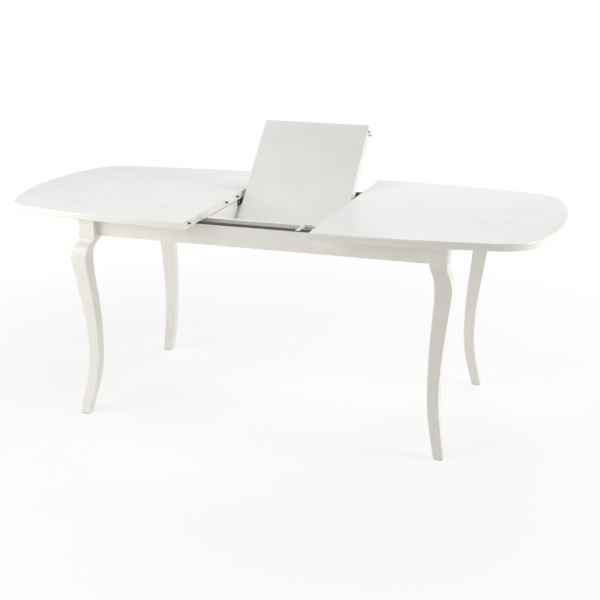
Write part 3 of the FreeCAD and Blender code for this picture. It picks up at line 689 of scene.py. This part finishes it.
class TABLE_OT_runners(TablePiece, bpy.types.Operator):
    """Make the slides' inner members: bent sheet on two rows of balls in a cage"""

    bl_idname = "table.runners"
    bl_label = "Slide Runners"

    def execute(self, context):
        for end in ENDS:
            for side in SIDES:
                self.runner(context, end, side)
        return {"FINISHED"}

    def runner(self, context, end, side):
        """One inner member, and the balls and cage it runs on."""
        materials, hardware = self.parts(context)
        node = f"slide_runner_{end}_{side}"
        low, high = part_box(node)
        out = ENDS[end]
        face, back = sorted((abs(low.y), abs(high.y)))
        middle, sheet = (low.z + high.z) / 2, hardware.sheet
        reach = (high.z - low.z) / 2
        flange = reach - hardware.ball - BACK_GAP - sheet / 2

        member = bmesh.new()
        near, far = face + sheet / 2, back - CAGE_SHEET
        top, bottom = middle + flange, middle - flange
        channel = [(far, top), (near + BEND, top), (near + BEND * 0.3, top - BEND * 0.3),
                   (near, top - BEND), (near, bottom + BEND),
                   (near + BEND * 0.3, bottom + BEND * 0.3), (near + BEND, bottom),
                   (far, bottom)]
        run_along(member, bent_strip(channel, sheet), out, low.x, high.x)
        add_piece(f"slide_member_{end}_{side}", member, [materials["black"]],
                  f"top_{side}_half", [node])

        bearing = bmesh.new()
        race = face + (back - face) * 0.62
        radius = hardware.ball / 2
        rows = [middle + s * (reach - radius - 0.0001) for s in (-1, 1)]
        wall, lip = back - BACK_GAP, race - radius - CAGE_SHEET
        cage = [(lip, rows[0]), (wall - BEND, rows[0]), (wall, rows[0] + BEND),
                (wall, rows[1] - BEND), (wall - BEND, rows[1]), (lip, rows[1])]
        run_along(bearing, bent_strip(cage, CAGE_SHEET), out, low.x + 0.004, high.x - 0.004)
        strip = len(bearing.faces)
        count = int((high.x - low.x - 2 * ROW_END) / hardware.ball_spacing)
        for row in rows:
            for k in range(count + 1):
                x = low.x + ROW_END + k * hardware.ball_spacing
                place = Matrix.Translation((x, out * race, row))
                bmesh.ops.create_icosphere(bearing, subdivisions=2, radius=radius,
                                           matrix=place)
        bearing.faces.ensure_lookup_table()
        for ball in bearing.faces[strip:]:
            ball.material_index = 1
        add_piece(f"slide_bearing_{end}_{side}", bearing,
                  [materials["zinc"], materials["bearing"]], f"top_{side}_half",
                  smooth=50)


class TABLE_OT_pegs(TablePiece, bpy.types.Operator):
    """Make the alignment pegs, with rounded ends and a shallow groove"""

    bl_idname = "table.pegs"
    bl_label = "Alignment Pegs"

    def execute(self, context):
        materials, hardware = self.parts(context)
        groups = [("alignment_pegs_top", "top_left_half", UPRIGHT),
                  ("alignment_pegs_leaf_rear", "leaf_rear_half", ON_LEAF),
                  ("alignment_pegs_leaf_front", "leaf_front_half", ON_LEAF)]
        tip = hardware.peg_tip
        for node, body, own in groups:
            mesh = bmesh.new()
            for low, high in solids_of(node, own):
                length, radius = high.x - low.x, (high.z - low.z) / 2
                start = Vector((low.x, (low.y + high.y) / 2, (low.z + high.z) / 2))
                proud = length - PEG_PROUD
                turned(mesh, facing(start, Vector((1, 0, 0)), own),
                       [(0, 0), (0, radius - tip), (tip, radius), (proud - 0.0006, radius),
                        (proud, radius - 0.0003), (proud + 0.0006, radius),
                        (length - tip * 1.6, radius), (length - tip * 0.6, radius * 0.86),
                        (length - tip * 0.1, radius * 0.6), (length, radius * 0.3),
                        (length, 0)], 20)
            # The left top's pegs take the dark colour that is painted shade of holes; the leaf's pegs keep their
            # own pale grey
            shade = materials["peg" if body == "top_left_half" else "pale_peg"]
            add_piece(f"{node}_rounded", mesh, [shade], body, [node])
        return {"FINISHED"}


class TABLE_OT_glides(TablePiece, bpy.types.Operator):
    """Make the glides: moulded pads with eased edges and a sunk nail"""

    bl_idname = "table.glides"
    bl_label = "Glides"

    def execute(self, context):
        materials, hardware = self.parts(context)
        for end in ENDS:
            for side in SIDES:
                node = f"glide_{end}_{side}"
                low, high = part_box(node)
                middle, size = (low + high) / 2, high - low
                mesh = bmesh.new()
                place = Matrix.Translation(middle) @ Matrix.Diagonal((*size, 1))
                bmesh.ops.create_cube(mesh, size=1, matrix=place)
                upright = [e for e in mesh.edges
                           if abs(e.verts[0].co.z - e.verts[1].co.z) > size.z / 2]
                bmesh.ops.bevel(mesh, geom=upright, offset=0.004, segments=4, profile=0.5,
                                affect="EDGES")
                under = [e for e in mesh.edges
                         if all(v.co.z < low.z + 1e-5 for v in e.verts)]
                bmesh.ops.bevel(mesh, geom=under, offset=hardware.glide_edge, segments=3,
                                profile=0.5, affect="EDGES")
                pad = len(mesh.faces)
                nail = Matrix.Translation((middle.x, middle.y, low.z))
                turned(mesh, nail, [(0.0002, 0), (0.0003, 0.0022), (0.0008, 0.003),
                                    (0.0014, 0.003), (0.0014, 0)], 20)
                mesh.faces.ensure_lookup_table()
                for head in mesh.faces[pad:]:
                    head.material_index = 1
                add_piece(f"{node}_moulded", mesh, [materials["nylon"], materials["zinc"]],
                          "base_frame", [node])
        return {"FINISHED"}


class TABLE_OT_stage(bpy.types.Operator):
    """Lay the floor, set the lamps and the sky, and place the camera"""

    bl_idname = "table.stage"
    bl_label = "Stage"
    bl_options = {"REGISTER", "UNDO"}

    def execute(self, context):
        stage = context.scene.table_stage
        self.floor(stage)
        self.sky(context.scene, stage)
        cool, plain = linear("F8F9FF"), linear("FFFEFA")
        self.lamp("overhead_softbox", stage.overhead, (-0.5, -0.75, 2.4), (-0.5, -0.75, 0),
                  (1.3, 0.95), cool)
        self.lamp("rear_softbox", stage.rear, (0.5, 1.7, 2.3), (0.1, 0, 0.7), (1.5, 1.2), cool)
        self.lamp("left_softbox", stage.left, (-1.9, -1.3, 0.7), (-0.3, -0.3, 0.65),
                  (0.9, 0.9), plain)
        self.lamp("right_softbox", stage.right, (4.4, 0.2, 1.5), (0.3, 0, 0.6), (2, 2),
                  plain)
        self.lamp("front_softbox", stage.front, (-2.4, -3.3, 1.9), (0, 0, 0.7), (1.6, 1.6),
                  plain)
        self.camera(context.scene, stage)
        context.scene.view_settings.view_transform = "Standard"
        return {"FINISHED"}

    @staticmethod
    def floor(stage):
        """Wide pale floor that shows white outside the table's shadow and far from it."""
        mesh = bmesh.new()
        bmesh.ops.create_grid(mesh, x_segments=4, y_segments=4, size=60)
        data = bpy.data.meshes.new("floor")
        mesh.to_mesh(data)
        mesh.free()
        material = bpy.data.materials.new("matt_paper_floor")
        material.use_nodes = True
        tree = material.node_tree
        tree.nodes.clear()
        seen = seen_directly(tree)
        bounce = add_node(tree, "BsdfDiffuse", {"Color": (*stage.floor, 1)})
        shade = add_node(tree, "BsdfDiffuse", {"Color": (*[stage.shade] * 3, 1)})
        glow = add_node(tree, "Emission", {"Color": (1, 1, 1, 1), "Strength": stage.glow})
        shaded = add_node(tree, "AddShader", {}, {0: shade.outputs[0], 1: glow.outputs[0]})
        white = add_node(tree, "Emission", {"Color": (1, 1, 1, 1), "Strength": 1})
        place = add_node(tree, "TexCoord").outputs["Object"]
        away = add_node(tree, "VectorMath", {}, {0: place}, operation="LENGTH")
        share = add_node(tree, "MapRange", {"From Min": stage.near, "From Max": stage.far},
                         {"Value": away.outputs["Value"]})
        shown = add_node(tree, "MixShader", {}, {0: share.outputs[0], 1: shaded.outputs[0],
                                                 2: white.outputs[0]})
        both = add_node(tree, "MixShader", {}, {0: seen, 1: bounce.outputs[0],
                                                2: shown.outputs[0]})
        add_node(tree, "OutputMaterial", {}, {"Surface": both.outputs[0]})
        data.materials.append(material)
        floor = bpy.data.objects.new("floor", data)
        bpy.context.scene.collection.objects.link(floor)

    @staticmethod
    def sky(scene, stage):
        """Even light all round, which shows plain white behind and in reflections."""
        world = bpy.data.worlds.new("studio")
        world.use_nodes = True
        tree = world.node_tree
        tree.nodes.clear()
        seen = seen_directly(tree)
        level = add_node(tree, "MapRange", {"To Min": stage.sky, "To Max": 1},
                         {"Value": seen})
        light = add_node(tree, "Background", {"Color": (1, 1, 1, 1)},
                         {"Strength": level.outputs[0]})
        add_node(tree, "OutputWorld", {}, {"Surface": light.outputs[0]})
        scene.world = world

    @staticmethod
    def lamp(name, watts, place, target, size, colour):
        """Adds a softbox that looks at a target and doesn't show to the camera."""
        data = bpy.data.lights.new(name, "AREA")
        data.shape = "RECTANGLE"
        data.energy, data.color = watts, colour
        data.size, data.size_y = size
        lamp = bpy.data.objects.new(name, data)
        lamp.visible_camera = False
        lamp.location = place
        away = Vector(place) - Vector(target)
        lamp.rotation_euler = away.to_track_quat("Z", "Y").to_euler()
        bpy.context.scene.collection.objects.link(lamp)

    @staticmethod
    def camera(scene, stage):
        """Camera at the front right, looking slightly down."""
        data = bpy.data.cameras.new("camera")
        data.sensor_width = 36
        data.lens = stage.lens
        camera = bpy.data.objects.new("camera", data)
        tilt, roll, heading = stage.turn
        camera.matrix_world = (Matrix.Translation(stage.camera)
                               @ Matrix.Rotation(heading, 4, "Z")
                               @ Matrix.Rotation(tilt, 4, "X") @ Matrix.Rotation(roll, 4, "Z"))
        scene.collection.objects.link(camera)
        scene.camera = camera


STEPS = (TABLE_OT_finishes, TABLE_OT_screws, TABLE_OT_bolts, TABLE_OT_runners, TABLE_OT_pegs,
         TABLE_OT_glides, TABLE_OT_stage)


class TABLE_PT_sidebar(bpy.types.Panel):
    """Lists the table's settings and pieces"""

    bl_label = "Extendable Table"
    bl_space_type = "VIEW_3D"
    bl_region_type = "UI"
    bl_category = "Table"

    def draw(self, context):
        for group in (context.scene.table_finish, context.scene.table_hardware,
                      context.scene.table_stage):
            column = self.layout.column(align=True)
            for setting in group.__annotations__:
                column.prop(group, setting)
        for step in STEPS:
            self.layout.operator(step.bl_idname)


CLASSES = (TableFinish, TableHardware, TableStage, *STEPS, TABLE_PT_sidebar)


def register():
    """Adds the settings, the operators and the panel."""
    for one in CLASSES:
        bpy.utils.register_class(one)
    bpy.types.Scene.table_finish = bpy.props.PointerProperty(type=TableFinish)
    bpy.types.Scene.table_hardware = bpy.props.PointerProperty(type=TableHardware)
    bpy.types.Scene.table_stage = bpy.props.PointerProperty(type=TableStage)


def unregister():
    """Takes away what register() added."""
    del bpy.types.Scene.table_stage
    del bpy.types.Scene.table_hardware
    del bpy.types.Scene.table_finish
    for one in reversed(CLASSES):
        bpy.utils.unregister_class(one)


def main():
    """Builds the whole scene."""
    register()
    bpy.ops.table.finishes()
    bpy.ops.table.screws()
    bpy.ops.table.bolts()
    bpy.ops.table.runners()
    bpy.ops.table.pegs()
    bpy.ops.table.glides()
    bpy.ops.table.stage()


if __name__ == "__main__":
    main()
